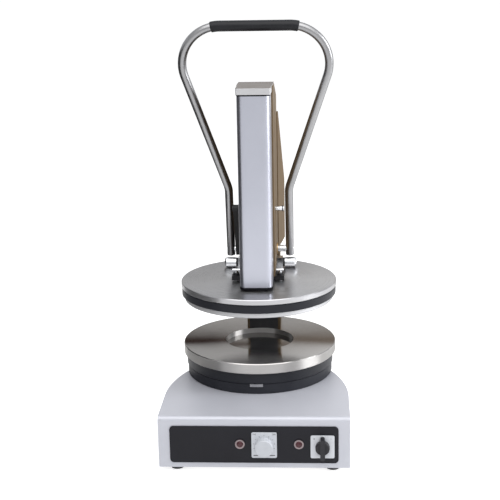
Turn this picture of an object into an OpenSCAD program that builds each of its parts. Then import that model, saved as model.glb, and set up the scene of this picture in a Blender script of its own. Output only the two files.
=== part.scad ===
// Pizza dough press with a hoop handle: two heated round plates, the upper one driven down by a ram
// in a mast. Millimetres, +Z up, front towards -Y, origin on the floor below the plates' axis.

/* [Base] */
// Width of the base housing across its front
base_w = 380; // [350:1:420]
// Depth of the base housing from front to rear
base_d = 562; // [540:1:600]
// Height of the base housing without its feet
base_h = 106; // [100:1:130]
// Thickness of the housing's sheet steel
sheet_t = 2; // [1.5:0.1:3]
// Radius of the bend between the front and the top
front_bend_r = 9; // [5:0.5:14]
// Length of the parallel sides behind the front
side_straight = 118; // [100:1:130]
// Radius of the two curves that draw each side in
side_curve_r = 330; // [310:1:350]
// Angle by which a side turns in before it turns back
side_turn = 27; // [24:0.5:29]
// Height of a rubber foot
foot_h = 10; // [6:0.5:16]
// Diameter of a rubber foot where it meets the floor plate
foot_d = 30; // [24:1:36]
// Distance of a front foot's middle from the housing's front
foot_inset = 25; // [20:1:40]

/* [Control panel] */
// Margin between the black panel and the housing's side edges
panel_margin = 23; // [18:1:30]
// Height of the black panel
panel_h = 77; // [70:1:84]
// Thickness of the black panel
panel_t = 2; // [1:0.1:3]
// Radius of the panel's corners
panel_r = 8; // [4:0.5:12]
// Height of the panel's middle above the housing's lower edge
panel_up = 49.3; // [46:0.1:52]
// Width of the thermostat's dial plate
dial_w = 50; // [44:0.5:54]
// Height of the thermostat's dial plate
dial_h = 53; // [46:0.5:56]
// Distance of the thermostat's middle from the switch's middle
dial_gap = 115; // [110:1:118]
// Diameter of the thermostat's knob
dial_knob_d = 36; // [30:0.5:42]
// Side of the switch's square plate
switch_w = 47; // [42:0.5:50]
// Distance of the switch's middle from the panel's right edge
switch_inset = 31.5; // [29:0.5:35]
// Diameter of the switch's knob
switch_knob_d = 28; // [24:0.5:34]
// Length of the switch's handle
switch_handle_l = 43; // [36:0.5:46]
// Thickness of a dial plate or switch plate
plate_t = 3; // [2:0.1:4]
// Height of a knob above its plate
knob_h = 18; // [14:0.5:24]
// Distances of the pilot lamps' middles from the switch's middle
lamp_gaps = [163, 46.5];
// Diameter of a lamp's chrome ring
lamp_d = 19; // [16:0.5:22]

/* [Lower plate] */
// Radius of the lower press plate
lower_r = 165; // [160:1:170]
// Thickness of the lower press plate
lower_t = 22; // [18:0.5:28]
// Radius of the round recess in the plate's middle
recess_r = 74; // [60:1:90]
// Depth of that recess
recess_depth = 11; // [6:0.5:13]
// Outer radius of the dark skirt below the plate
skirt_r = 159; // [156:0.5:161]
// Height of the skirt
skirt_h = 23.5; // [18:0.5:28]
// Outer radius of the insulating ring below the skirt
ring_r = 157; // [152:0.5:158]
// Height of the insulating ring
ring_h = 22.5; // [18:0.5:28]

/* [Upper plate] */
// Radius of the upper plate's cover disc
cover_r = 167; // [165:0.5:170]
// Thickness of the cover disc
cover_t = 12; // [9:0.5:15]
// Radius of the dark band below the cover disc
band_r = 166; // [164:0.5:167]
// Height of the dark band
band_h = 17.5; // [14:0.5:22]
// Radius of the pressing disc
press_r = 160; // [155:0.5:163]
// Thickness of the pressing disc
press_t = 11; // [8:0.5:14]
// Gap between the two plates when the press is open
plates_gap = 97; // [85:1:100]
// Gap that is left for the dough when the press is closed
dough_t = 2; // [1:0.5:6]

/* [Mast] */
// Height of the mast's top above the upper plate
mast_h = 420.5; // [410:0.5:440]
// Gap between the front cover and the upper plate
cover_lift = 8.5; // [6:0.5:12]
// Distance of the mast's front face before the plates' axis
mast_front = 107; // [102:1:112]
// Half width of the front cover
mast_half = 34; // [33:0.5:35]
// Radius of the front cover's bent edges
mast_bend_r = 14; // [8:0.5:16]
// Distance of the cheeks' front edge before the plates' axis
cheek_front = 47; // [46:0.5:50]
// Distance between the outer faces of the two cheeks
cheeks_w = 74; // [73:0.5:76]
// Thickness of a cheek
cheek_t = 4; // [3:0.5:5]
// Front of the rear column behind the plates' axis
column_front = 190; // [184:1:196]
// Rear of the column behind the plates' axis
column_rear = 250; // [240:1:254]
// Width of the rear cover below, and at its front edges above
rear_cover_w = 78; // [78:0.5:84]
// Width of the rear cover at its back above
rear_cover_back_w = 100; // [90:1:104]
// Height of the cap's lip over the front cover
cap_lip = 13; // [10:0.5:18]

/* [Handle] */
// Distance of the pivot shaft behind the plates' axis
pivot_y = 90; // [86:1:94]
// Diameter of the pivot shaft
shaft_d = 15; // [14:0.5:16]
// Diameter of the hoop's bar
hoop_d = 18; // [16:0.5:20]
// Half of the hoop's greatest width, to the middle of its bar
hoop_half = 153; // [140:1:165]
// Half of the distance between the hoop's legs
leg_half = 65.5; // [65:0.5:68]
// Distance of the grip's middle from the pivot
hoop_l = 502.8; // [480:0.2:520]
// Radius of the hoop's upper bends
hoop_r = 81; // [70:1:85]
// Angle of the hoop's slanting arms to its legs
arm_slant = 18.3; // [16:0.1:20]
// Radius of the bend between arm and leg
leg_bend_r = 60; // [40:1:80]
// Angle by which the hoop leans forward at rest
hoop_lean = 10.8; // [9:0.1:12]
// Diameter of the grip
grip_d = 22.5; // [21.5:0.5:26]
// Length of the grip
grip_l = 181; // [160:1:190]

/* [Drive] */
// Height of the crank pin above the pivot
crank_up = 105; // [100:1:110]
// Distance of the crank pin before the pivot
crank_fwd = 65; // [62:1:68]
// Diameter of the crank pin
pin_d = 10; // [8:0.5:11]
// Diameter of the ram rod
ram_d = 32; // [28:0.5:34]
// Diameter of the guide rod
guide_d = 24; // [20:0.5:26]

/* [Hidden] */
$fn = 72;
over = 1;
fit = 0.3;
run_fit = 0.05;

// Heights, from the floor up
base_top = foot_h + base_h;
ring_top = base_top + ring_h;
skirt_top = ring_top + skirt_h;
lower_top = skirt_top + lower_t;
press_bottom = lower_top + plates_gap;
band_bottom = press_bottom + press_t;
band_top = band_bottom + band_h;
upper_top = band_top + cover_t;
mast_top = upper_top + mast_h;
stroke = plates_gap - dough_t;
panel_z = foot_h + panel_up;
front_y = -base_d / 2;
rear_y = base_d / 2;

// Base: places of feet, studs, bolts and what sits inside
bend_steps = 10;
rear_half = base_w / 2 - 2 * side_curve_r * (1 - cos(side_turn));
foot_side_inset = 34;
rear_foot_side_inset = 26;
front_feet_x = base_w / 2 - foot_side_inset;
front_feet_y = front_y + foot_inset;
rear_feet_x = rear_half - rear_foot_side_inset;
rear_feet_y = rear_y - foot_d;
foot_taper = 4;
stud_d = 8;
stud_count = 3;
stud_circle_r = 104;
stud_sink = 8;
stud_nut_d = 14;
stud_nut_h = 7;
wire_hole_d = 40;
gland_share = 0.6;
gland_x = rear_half * gland_share;
gland_z = base_top / 2;
gland_d = 20;
gland_nut_d = 26;
gland_nut_h = 6;
gland_seal_d = 14;
gland_seal_h = 5;
gland_reach = panel_t + plate_t + fit + knob_h;
terminal_w = 70;
terminal_d = 24;
terminal_h = 20;
terminal_y = 90;

// Controls: places on the panel, bodies behind it and spindles through it
panel_w = base_w - 2 * panel_margin;
switch_x = panel_w / 2 - switch_inset;
dial_x = switch_x - dial_gap;
lamp_xs = [for (gap = lamp_gaps) switch_x - gap];
spindle_d = 6;
bush_d = 10;
dial_body_d = 42;
dial_body_l = 48;
switch_body_w = 44;
switch_body_l = 52;
switch_drop = 3;
switch_z = panel_z - switch_drop;
lamp_rise = 2;
lamp_z = panel_z + lamp_rise;
knob_edge = 1.5;
knob_bore_share = 0.6;
knob_bore_l = knob_h * knob_bore_share;
dial_rib_count = 24;
dial_rib_d = 2;
handle_w = 9.5;
hub_share = 0.55;
lamp_lens_d = 13;
lamp_ring_h = 3;
lamp_body_d = 12;
lamp_body_l = 30;
dome_h = 3;

// Plates: inner ring widths, heaters and edges
edge = 1.5;
ring_wall = 26;
skirt_wall = 18;
band_wall = 14;
heater_out = 132;
heater_in = 120;
heater_h = 7;
clip_w = 27;
clip_h = 6;
clip_t = 2.5;

// Column foot
flange_t = 8;
flange_margin = 22;
bolt_d = 10;
bolt_head_d = 17;
bolt_head_h = 6.5;
bolt_inset = 11;
stiffener_t = 6;
stiffener_inset = 12;
stiffener_w = 2 * (rear_half - stiffener_inset);
column_bottom = base_top + flange_t;

// Mast: cheek profile
cheek_out = cheeks_w / 2;
cheek_in = cheek_out - cheek_t;
cap_t = 1.2;
cap_bend_r = 3;
cheek_top = mast_top - cap_t;
cheek_lift = 16.5;
cheek_low = upper_top + cheek_lift;
head_lift = 28.5;
head_bottom = upper_top + head_lift;
step_before_pivot = 30;
low_front_rear = pivot_y - step_before_pivot;
head_rear = 150;
top_rear = 20;
shoulder_drop = 42;
shoulder_z = mast_top - shoulder_drop;
back_h = 50;
slope_high = shoulder_z - back_h;
slope_h = 160;
slope_low = slope_high - slope_h;
throat_r = 30;
cover_wall = 2;
cover_bottom = upper_top + cover_lift;
cover_corner_r = 3;
rear_cover_step = 10;
rear_cover_out = rear_cover_w / 2;
rear_cover_gap = 12;
spine_t = 3;
tie_d = 16;
tie_inset = 30;
tie_rise = 70;
tie_places = [[pivot_y + tie_inset, head_bottom + tie_rise], [head_rear - tie_inset, slope_high - tie_inset],
    [column_rear - tie_inset, column_bottom + tie_rise], [column_rear - tie_inset, head_bottom + tie_rise]];

// Drive: crank, yoke, guides, strut
pivot_lift = 15;
pivot_z = head_bottom + pivot_lift;
crank_r = norm([crank_up, crank_fwd]);
crank_start = atan2(crank_fwd, crank_up);
crank_end = acos((crank_up - stroke) / crank_r);
pin_y = pivot_y - crank_fwd;
pin_z = pivot_z + crank_up;
pin_front = pivot_y - crank_r * sin(crank_end);
slot_play = 1.5;
pin_half = 55.5;
crank_t = 13;
crank_gap = 4;
crank_hub_r = 14.5;
crank_tip_r = 8.5;
crank_x = cheek_out + crank_gap;
cap_knob_d = 13;
cap_knob_l = 2;
pin_ring_t = 2;
bush_wall = 2.5;
bush_flange = 2;
arm_t = 10;
arm_gap = 2.5;
arm_bottom = upper_top + arm_gap;
arm_top = arm_bottom + arm_t;
guide_gap = 3;
guide_low = arm_top + guide_gap;
guide_low_h = 17;
guide_depth = 80;
guide_high_rise = 50;
guide_high = pin_z + guide_high_rise;
guide_high_h = 25;
guide_bush_wall = 4;
yoke_w = 30;
yoke_play = 8;
yoke_floor = 12;
yoke_roof = 15;
yoke_bottom = pin_z - pin_d / 2 - fit - yoke_floor;
yoke_top = pin_z + pin_d / 2 + yoke_play + yoke_roof;
yoke_tail = 20;
yoke_rear = pin_y + yoke_tail;
guide_spare = 10;
guide_rod_top = guide_high + guide_high_h + stroke + guide_spare;
strut_y = -76;
strut_d = 22;
strut_rod_d = 8;
strut_gap = 12;
strut_low = yoke_top + strut_gap;
bridge_t = 10;
bridge_low = cheek_top - bridge_t;
strut_head = 40;
strut_spare = 10;
strut_rod_top = bridge_low - strut_head;
yoke_front = strut_y - strut_d / 2;

// Plate suspension: hinge behind the ram, tee screws beside it
hinge_y = pivot_y;
hinge_d = 12;
hinge_lift = 12;
hinge_z = upper_top + hinge_lift;
lug_in = 28;
lug_out = 50;
lug_d = 22;
lug_h = 24;
washer_t = 4.5;
washer_d = 20;
nut_d = 23;
nut_l = 25;
nut_edge = 3;
foot_boss_d = 58;
foot_arm_w = 18;
foot_rear_w = 44;
tee_x = 47;
tee_y = -20;
tee_d = 7;
tee_bar_d = 6;
tee_bar_l = 16;
tee_lift = 27;
tee_top = upper_top + tee_lift;
tee_nut_d = 13;
tee_nut_h = 5;
arm_reach = 56;

// Hoop: points of its middle line in its own plane, pivot at zero
hoop_c = [hoop_half - hoop_r, hoop_l - hoop_r];
hoop_sides = 28;
hoop_bend_steps = 12;
leg_bend_steps = 5;
grip_bend_steps = 4;
grip_angle = acos((grip_l / 2 - hoop_c[0]) / hoop_r);
grip_step = (90 - grip_angle) / grip_bend_steps;
slant_top = hoop_c + hoop_r * [cos(arm_slant), -sin(arm_slant)];
slant_meet_v = slant_top[1] - (slant_top[0] - leg_half) / tan(arm_slant);
bend_tangent = leg_bend_r * tan(arm_slant / 2);
leg_top_v = slant_meet_v - bend_tangent;
leg_end_v = -14;
spigot_d = 10;

// Colours
paint = [0.75, 0.76, 0.79];
panel_black = [0.12, 0.13, 0.16];
pale = [0.86, 0.87, 0.88];
steel = [0.72, 0.71, 0.70];
stainless = [0.55, 0.49, 0.41];
chrome = [0.85, 0.86, 0.87];
dark = [0.2, 0.2, 0.22];
black = [0.08, 0.08, 0.09];
bronze = [0.72, 0.52, 0.28];

// Points along an arc
function arc(centre, r, from, to, steps) =
    [for (i = [0:steps]) let (a = from + (to - from) * i / steps) centre + r * [cos(a), sin(a)]];

// Right half of the base's plan, drawn in by an inset
function half_plan(inset) =
    let (half = base_w / 2, bend_y = front_y + side_straight,
        centre = [half - side_curve_r, bend_y],
        back_centre = centre + 2 * side_curve_r * [cos(side_turn), sin(side_turn)])
    concat([[half - inset, front_y + inset]],
        arc(centre, side_curve_r - inset, 0, side_turn, bend_steps),
        arc(back_centre, side_curve_r + inset, 180 + side_turn, 180, bend_steps),
        [[back_centre[0] - side_curve_r - inset, rear_y - inset]]);

// Front cover's plan, grown by a margin, its front edges bent to a radius, ending at a back line
function cover_plan(grow, r, back) =
    let (half = mast_half + grow, bend_x = half - r, bend_y = r - mast_front - grow)
    concat([[half, back]], arc([bend_x, bend_y], r, 0, -90, bend_steps),
        arc([-bend_x, bend_y], r, -90, -180, bend_steps), [[-half, back]]);

module base_plan(inset) {
    right = half_plan(inset);
    last = len(right) - 1;
    polygon(concat(right, [for (i = [0:last]) [-right[last - i][0], right[last - i][1]]]));
}

module rounded_rect(w, h, r) {
    square([w - 2 * r, h], center = true);
    square([w, h - 2 * r], center = true);
    for (x = [-1, 1], z = [-1, 1]) translate([x * (w / 2 - r), z * (h / 2 - r)]) circle(r);
}

// Stands a drawing of Y and Z upright and extrudes it across the machine, centred
module across(w) { translate([-w / 2, 0, 0]) rotate([90, 0, 90]) linear_extrude(w) children(); }

// Stands a drawing of X and Z upright on a plane and extrudes it towards the front
module forward(y, t) { translate([0, y, 0]) rotate([90, 0, 0]) linear_extrude(t) children(); }

// A rod along X, between two places
module rod_x(from, to, d, y, z) {
    translate([from, y, z]) rotate([0, 90, 0]) cylinder(h = to - from, d = d);
}

// A rod along Y, from a plane towards the front
module rod_y(x, from, l, d, z) { translate([x, from, z]) rotate([90, 0, 0]) cylinder(h = l, d = d); }

// A standing rod
module rod_z(x, y, from, to, d) { translate([x, y, from]) cylinder(h = to - from, d = d); }

// A flat ring with both outer edges broken
module disc_ring(outer, inner, from, h, cut) {
    translate([0, 0, from]) rotate_extrude($fn = 144)
        polygon([[inner, 0], [outer - cut, 0], [outer, cut], [outer, h - cut], [outer - cut, h], [inner, h]]);
}

// The base's outer form, drawn in by an inset, with its front top edge bent round
module base_form(inset, from) {
    top = base_top - inset;
    front = front_y + inset;
    r = front_bend_r - inset;
    difference() {
        translate([0, 0, from]) linear_extrude(top - from) base_plan(inset);
        difference() {
            translate([-base_w / 2 - over, front - over, top - r])
                cube([base_w + 2 * over, r + over, r + over]);
            rod_x(-base_w, base_w, 2 * r, front + r, top - r);
        }
    }
}

module base_housing() {
    color(paint) difference() {
        base_form(0, foot_h);
        base_form(sheet_t, foot_h - over);
        rod_z(0, 0, base_top - sheet_t - over, base_top + over, wire_hole_d);
        stud_places() rod_z(0, 0, base_top - sheet_t - over, base_top + over, stud_d + 2 * fit);
        bolt_places() rod_z(0, 0, base_top - sheet_t - over, base_top + over, bolt_d + 2 * fit);
        control_holes(front_y + sheet_t + over, sheet_t + 2 * over);
        rod_y(gland_x, rear_y + over, sheet_t + 2 * over, gland_d + 2 * fit, gland_z);
    }
}

module control_holes(from, l) {
    rod_y(dial_x, from, l, bush_d + 2 * fit, panel_z);
    rod_y(switch_x, from, l, bush_d + 2 * fit, switch_z);
    for (x = lamp_xs) rod_y(x, from, l, lamp_body_d + 2 * fit, lamp_z);
}

module stud_places() {
    for (i = [0:stud_count - 1])
        rotate([0, 0, 90 + i * 360 / stud_count]) translate([stud_circle_r, 0, 0]) children();
}

module bolt_places() {
    half = rear_cover_out + flange_margin - bolt_inset;
    for (x = [-half, half], y = [column_front, column_rear]) translate([x, y, 0]) children();
}

module base_floor() {
    color(steel) translate([0, 0, foot_h]) linear_extrude(sheet_t) base_plan(sheet_t + fit);
}

module rubber_feet() {
    color(black) for (x = [-1, 1])
        for (place = [[front_feet_x, front_feet_y], [rear_feet_x, rear_feet_y]])
            translate([x * place[0], place[1], 0])
                cylinder(h = foot_h, d1 = foot_d - foot_taper, d2 = foot_d);
}

module base_stiffener() {
    color(steel) difference() {
        translate([-stiffener_w / 2, column_front - 2 * flange_margin, base_top - sheet_t - stiffener_t])
            cube([stiffener_w, column_rear - column_front + 3 * flange_margin, stiffener_t]);
        bolt_places() rod_z(0, 0, base_top - sheet_t - stiffener_t - over, base_top, bolt_d + 2 * fit);
    }
}

module cable_gland() {
    inner = rear_y - sheet_t - gland_nut_h;
    color(black) difference() {
        union() {
            rod_y(gland_x, rear_y + gland_reach, gland_reach + sheet_t + gland_nut_h, gland_d, gland_z);
            rod_y(gland_x, rear_y + gland_nut_h, gland_nut_h, gland_nut_d, gland_z);
            rod_y(gland_x, inner + gland_nut_h, gland_nut_h, gland_nut_d, gland_z);
        }
        rod_y(gland_x, rear_y + gland_reach + over, gland_seal_h + over, gland_seal_d, gland_z);
    }
}

module gland_seal() {
    color(dark) rod_y(gland_x, rear_y + gland_reach, gland_seal_h, gland_seal_d, gland_z);
}

module terminal_block() {
    color(pale) translate([-terminal_w / 2, terminal_y, foot_h + sheet_t])
        cube([terminal_w, terminal_d, terminal_h]);
}

module control_panel() {
    color(panel_black) difference() {
        translate([0, 0, panel_z]) forward(front_y, panel_t) rounded_rect(panel_w, panel_h, panel_r);
        control_holes(front_y + over, panel_t + 2 * over);
    }
}

// A control's body behind the wall, with its bush and spindle through it
module control_body(x, z, spindle_l) {
    wall_in = front_y + sheet_t;
    rod_y(x, wall_in, sheet_t + panel_t, bush_d, z);
    rod_y(x, wall_in, sheet_t + panel_t + plate_t + spindle_l, spindle_d, z);
}

module thermostat_body() {
    color(steel) {
        control_body(dial_x, panel_z, knob_bore_l);
        rod_y(dial_x, front_y + sheet_t + dial_body_l, dial_body_l, dial_body_d, panel_z);
    }
}

module thermostat_plate() {
    color(pale) difference() {
        translate([dial_x, 0, panel_z]) forward(front_y - panel_t, plate_t)
            rounded_rect(dial_w, dial_h, plate_t);
        rod_y(dial_x, front_y + over, panel_t + plate_t + 2 * over, bush_d + 2 * fit, panel_z);
    }
}

// A knob's blank with a broken edge, on the plate, bored for its spindle
module knob_blank(x, z, d, h) {
    seat = front_y - panel_t - plate_t - fit;
    translate([x, seat, z]) rotate([90, 0, 0]) rotate_extrude()
        polygon([[0, 0], [d / 2, 0], [d / 2, h - knob_edge], [d / 2 - knob_edge, h], [0, h]]);
}

module spindle_bore(x, z) {
    rod_y(x, front_y - panel_t - plate_t, knob_bore_l + fit, spindle_d + 2 * run_fit, z);
}

module thermostat_knob() {
    seat = front_y - panel_t - plate_t - fit;
    color(pale) difference() {
        knob_blank(dial_x, panel_z, dial_knob_d, knob_h);
        spindle_bore(dial_x, panel_z);
        for (i = [0:dial_rib_count - 1]) let (a = i * 360 / dial_rib_count)
            rod_y(dial_x + dial_knob_d / 2 * cos(a), seat + over, knob_h + 2 * over, dial_rib_d,
                panel_z + dial_knob_d / 2 * sin(a));
    }
}

module switch_body() {
    color(dark) {
        control_body(switch_x, switch_z, knob_bore_l);
        translate([switch_x - switch_body_w / 2, front_y + sheet_t, switch_z - switch_body_w / 2])
            cube([switch_body_w, switch_body_l, switch_body_w]);
    }
}

module switch_plate() {
    color(pale) difference() {
        translate([switch_x, 0, switch_z]) forward(front_y - panel_t, plate_t)
            rounded_rect(switch_w, switch_w, plate_t);
        rod_y(switch_x, front_y + over, panel_t + plate_t + 2 * over, bush_d + 2 * fit, switch_z);
    }
}

module switch_knob() {
    seat = front_y - panel_t - plate_t - fit;
    color(black) difference() {
        union() {
            knob_blank(switch_x, switch_z, switch_knob_d, knob_h * hub_share);
            translate([switch_x, 0, switch_z]) forward(seat, knob_h)
                rounded_rect(handle_w, switch_handle_l, handle_w / 2 - edge);
        }
        spindle_bore(switch_x, switch_z);
    }
}

module lamp_rings() {
    color(chrome) for (x = lamp_xs) difference() {
        rod_y(x, front_y - panel_t, lamp_ring_h, lamp_d, lamp_z);
        rod_y(x, front_y, panel_t + lamp_ring_h + over, lamp_lens_d + 2 * fit, lamp_z);
    }
}

module lamp_lenses() {
    ring_front = panel_t + lamp_ring_h;
    color([0.35, 0.05, 0.07]) for (x = lamp_xs) {
        rod_y(x, front_y + lamp_body_l, lamp_body_l + panel_t, lamp_body_d, lamp_z);
        translate([x, front_y - panel_t, lamp_z]) rotate([90, 0, 0]) rotate_extrude()
            polygon(concat([[0, 0], [lamp_lens_d / 2, 0]],
                [for (i = [0:bend_steps]) let (a = 90 * i / bend_steps)
                    [lamp_lens_d / 2 * cos(a), ring_front - panel_t + dome_h * sin(a)]]));
    }
}

module insulating_ring() { color(black) disc_ring(ring_r, ring_r - ring_wall, base_top, ring_h, edge); }

module skirt() { color(dark) disc_ring(skirt_r, skirt_r - skirt_wall, ring_top, skirt_h, edge); }

module skirt_clip() {
    low = ring_top - clip_h;
    color(chrome) intersection() {
        translate([-clip_w / 2, -ring_r - clip_t, low]) cube([clip_w, 2 * clip_t + edge, clip_h]);
        difference() {
            rod_z(0, 0, low, ring_top, 2 * (ring_r + clip_t));
            rod_z(0, 0, low - over, ring_top + over, 2 * ring_r);
        }
    }
}

module lower_heater() { color(dark) disc_ring(heater_out, heater_in, skirt_top - heater_h, heater_h, edge); }

module lower_plate() {
    color(steel) difference() {
        disc_ring(lower_r, 0, skirt_top, lower_t, edge);
        translate([0, 0, lower_top - recess_depth])
            cylinder(h = recess_depth + over, r = recess_r, $fn = 144);
        stud_places() rod_z(0, 0, skirt_top - over, skirt_top + stud_sink + fit, stud_d + 2 * run_fit);
    }
}

module plate_studs() {
    nut_top = base_top - sheet_t;
    color(chrome) stud_places() {
        rod_z(0, 0, nut_top - stud_nut_h, skirt_top + stud_sink, stud_d);
        rod_z(0, 0, nut_top - stud_nut_h, nut_top, stud_nut_d);
    }
}

module column_flange() {
    half = rear_cover_out + flange_margin;
    color(stainless) difference() {
        translate([-half, column_front - flange_margin, base_top])
            cube([2 * half, column_rear - column_front + 2 * flange_margin, flange_t]);
        bolt_places() rod_z(0, 0, base_top - over, column_bottom + over, bolt_d + 2 * fit);
    }
}

module column_bolts() {
    nut_top = base_top - sheet_t - stiffener_t;
    color(chrome) bolt_places() {
        rod_z(0, 0, nut_top - bolt_head_h, column_bottom + bolt_head_h, bolt_d);
        rod_z(0, 0, column_bottom, column_bottom + bolt_head_h, bolt_head_d);
        rod_z(0, 0, nut_top - bolt_head_h, nut_top, bolt_head_d);
    }
}

// Side view of a cheek: head over the plates, throat, column
function cheek_outline() = concat(
    [[-cheek_front, cheek_low], [low_front_rear, cheek_low], [low_front_rear, head_bottom]],
    arc([column_front - throat_r, head_bottom - throat_r], throat_r, 90, 0, bend_steps),
    [[column_front, column_bottom], [column_rear, column_bottom], [column_rear, slope_low],
        [head_rear, slope_high], [head_rear, shoulder_z], [top_rear, cheek_top], [-cheek_front, cheek_top]]);

// Arc slot that the crank pin runs in
module swing_slot() {
    half = pin_d / 2 + slot_play;
    far = 2 * crank_r;
    middle = (crank_start + crank_end) / 2;
    translate([pivot_y, pivot_z]) {
        intersection() {
            difference() {
                circle(crank_r + half);
                circle(crank_r - half);
            }
            polygon([[0, 0], for (a = [crank_start, middle, crank_end]) far * [-sin(a), cos(a)]]);
        }
        for (a = [crank_start, crank_end]) translate(crank_r * [-sin(a), cos(a)]) circle(half);
    }
}

module cheek(side) {
    color(stainless) translate([side * (cheek_out - cheek_t / 2), 0, 0]) across(cheek_t) difference() {
        polygon(cheek_outline());
        translate([pivot_y, pivot_z]) circle(shaft_d / 2 + run_fit + bush_wall);
        swing_slot();
    }
}

module left_cheek() { cheek(-1); }

module right_cheek() { cheek(1); }

module cheek_ties() { color(steel) for (p = tie_places) rod_x(-cheek_in, cheek_in, tie_d, p[0], p[1]); }

module column_spine() {
    color(stainless) translate([-cheek_in, column_front, column_bottom])
        cube([2 * cheek_in, spine_t, head_bottom - throat_r - column_bottom]);
}

// Side view of the rear cover, its rear and top drawn in by an inset and its front by another
function rear_outline(inset, front_inset, low) =
    let (low_front = column_front + rear_cover_step + front_inset, high_front = head_rear + front_inset,
        rear = column_rear + rear_cover_gap - inset, high_rear = head_rear + rear_cover_gap - inset,
        step_z = head_bottom + edge + max(front_inset, 0), top = slope_high + rear_cover_gap - inset)
    [[low_front, low], [low_front, step_z], [high_front, step_z], [high_front, top],
        [high_rear, top], [rear, slope_low], [rear, low]];

// Plan of the rear cover's upper part, wider behind than in front, drawn in by an inset
module rear_plan(inset) {
    front_half = rear_cover_w / 2 - inset;
    back_half = rear_cover_back_w / 2 - inset;
    back = column_rear + rear_cover_gap;
    polygon([[-front_half, head_rear], [front_half, head_rear], [back_half, back], [-back_half, back]]);
}

// The rear cover's form, drawn in by insets at its back and sides and at its front
module rear_form(inset, front_inset, low) {
    step_z = head_bottom + inset;
    width = rear_cover_w - 2 * inset;
    depth = column_rear + rear_cover_gap - head_rear;
    intersection() {
        across(rear_cover_back_w) polygon(rear_outline(inset, front_inset, low));
        union() {
            translate([0, 0, step_z]) linear_extrude(mast_top - step_z) rear_plan(inset);
            translate([-width / 2, head_rear, low]) cube([width, depth, step_z - low]);
        }
    }
}

module rear_cover() {
    low = column_bottom - over;
    color(stainless) difference() {
        rear_form(0, 0, column_bottom);
        rear_form(cover_wall, cover_wall, low);
        across(cheeks_w + 2 * run_fit) polygon(rear_outline(cover_wall, -over, low));
    }
}

module mast_cover() {
    width = 2 * mast_half;
    height = cheek_top - cover_bottom;
    color(paint) difference() {
        intersection() {
            translate([0, 0, cover_bottom]) linear_extrude(height)
                polygon(cover_plan(0, mast_bend_r, -cheek_front));
            translate([0, 0, cover_bottom + height / 2]) forward(0, mast_front + over) {
                rounded_rect(width, height, cover_corner_r);
                translate([-width / 2, 0]) square([width, height / 2]);
            }
        }
        translate([0, 0, cover_bottom - over]) linear_extrude(height - cover_wall + over)
            polygon(cover_plan(-cover_wall, mast_bend_r - cover_wall, over - cheek_front));
    }
}

module mast_cap() {
    lip_low = mast_top - cap_lip;
    color(steel) {
        translate([0, 0, cheek_top]) linear_extrude(cap_t) {
            polygon(cover_plan(cap_t, cap_bend_r, -cheek_front));
            translate([-cheek_out, -cheek_front]) square([cheeks_w, cheek_front + top_rear]);
        }
        translate([0, 0, lip_low]) linear_extrude(cap_lip) difference() {
            polygon(cover_plan(cap_t, cap_bend_r, -cheek_front));
            polygon(cover_plan(run_fit, cap_bend_r - cap_t, over - cheek_front));
        }
    }
}

module mast_back() {
    inner_y = head_rear - sheet_t;
    front = top_rear - sheet_t;
    color(stainless) across(2 * (cheek_in - run_fit)) polygon([[top_rear, cheek_top], [head_rear, shoulder_z],
        [head_rear, slope_high], [inner_y, slope_high], [inner_y, shoulder_z - sheet_t],
        [front, cheek_top - sheet_t], [front, cheek_top]]);
}

module top_bridge() {
    color(steel) {
        translate([-cheek_in, -cheek_front, bridge_low])
            cube([2 * cheek_in, cheek_front + top_rear - 2 * sheet_t, bridge_t - sheet_t]);
        translate([-yoke_w / 2, strut_y - strut_d / 2, bridge_low])
            cube([yoke_w, -cheek_front - strut_y + strut_d / 2 + over, bridge_t - sheet_t]);
    }
}

// A guide block between the cheeks, bored for its bush
module guide_block(from, h, d) {
    color(steel) difference() {
        translate([-cheek_in, -guide_depth / 2, from]) cube([2 * cheek_in, guide_depth, h]);
        rod_z(0, 0, from - over, from + h + over, d + 2 * run_fit + 2 * guide_bush_wall);
    }
}

module lower_guide() { guide_block(guide_low, guide_low_h, ram_d); }

module upper_guide() { guide_block(guide_high, guide_high_h, guide_d); }

// A bronze bush in a guide block
module guide_bush(from, h, d) {
    color(bronze) difference() {
        rod_z(0, 0, from, from + h, d + 2 * run_fit + 2 * guide_bush_wall);
        rod_z(0, 0, from - over, from + h + over, d + 2 * run_fit);
    }
}

module guide_bushes() {
    guide_bush(guide_low, guide_low_h, ram_d);
    guide_bush(guide_high, guide_high_h, guide_d);
}

module pivot_bushes() {
    bore = shaft_d + 2 * run_fit;
    color(bronze) for (side = [0, 1]) mirror([side, 0, 0]) difference() {
        union() {
            rod_x(cheek_in, cheek_out, bore + 2 * bush_wall, pivot_y, pivot_z);
            rod_x(cheek_out, cheek_out + bush_flange, bore + 4 * bush_wall, pivot_y, pivot_z);
        }
        rod_x(cheek_in - over, cheek_out + bush_flange + over, bore, pivot_y, pivot_z);
    }
}

module strut_cylinder() {
    color(dark) difference() {
        rod_z(0, strut_y, strut_low, bridge_low, strut_d);
        rod_z(0, strut_y, strut_low - over, strut_rod_top + strut_spare, strut_rod_d + 2 * run_fit);
    }
}

module strut_rod() { color(chrome) rod_z(0, strut_y, yoke_top, strut_rod_top, strut_rod_d); }

module ram_rod() { color(chrome) rod_z(0, 0, arm_top, yoke_bottom, ram_d); }

module yoke() {
    slot_half = pin_d / 2 + fit;
    slot_end = slot_half + slot_play;
    slot_h = slot_half + pin_d / 2 + yoke_play;
    color(dark) difference() {
        translate([-yoke_w / 2, yoke_front, yoke_bottom])
            cube([yoke_w, yoke_rear - yoke_front, yoke_top - yoke_bottom]);
        translate([-yoke_w, pin_front - slot_end, pin_z - slot_half])
            cube([2 * yoke_w, pin_y - pin_front + 2 * slot_end, slot_h]);
    }
}

module guide_rod() { color(chrome) rod_z(0, 0, yoke_top, guide_rod_top, guide_d); }

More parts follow.
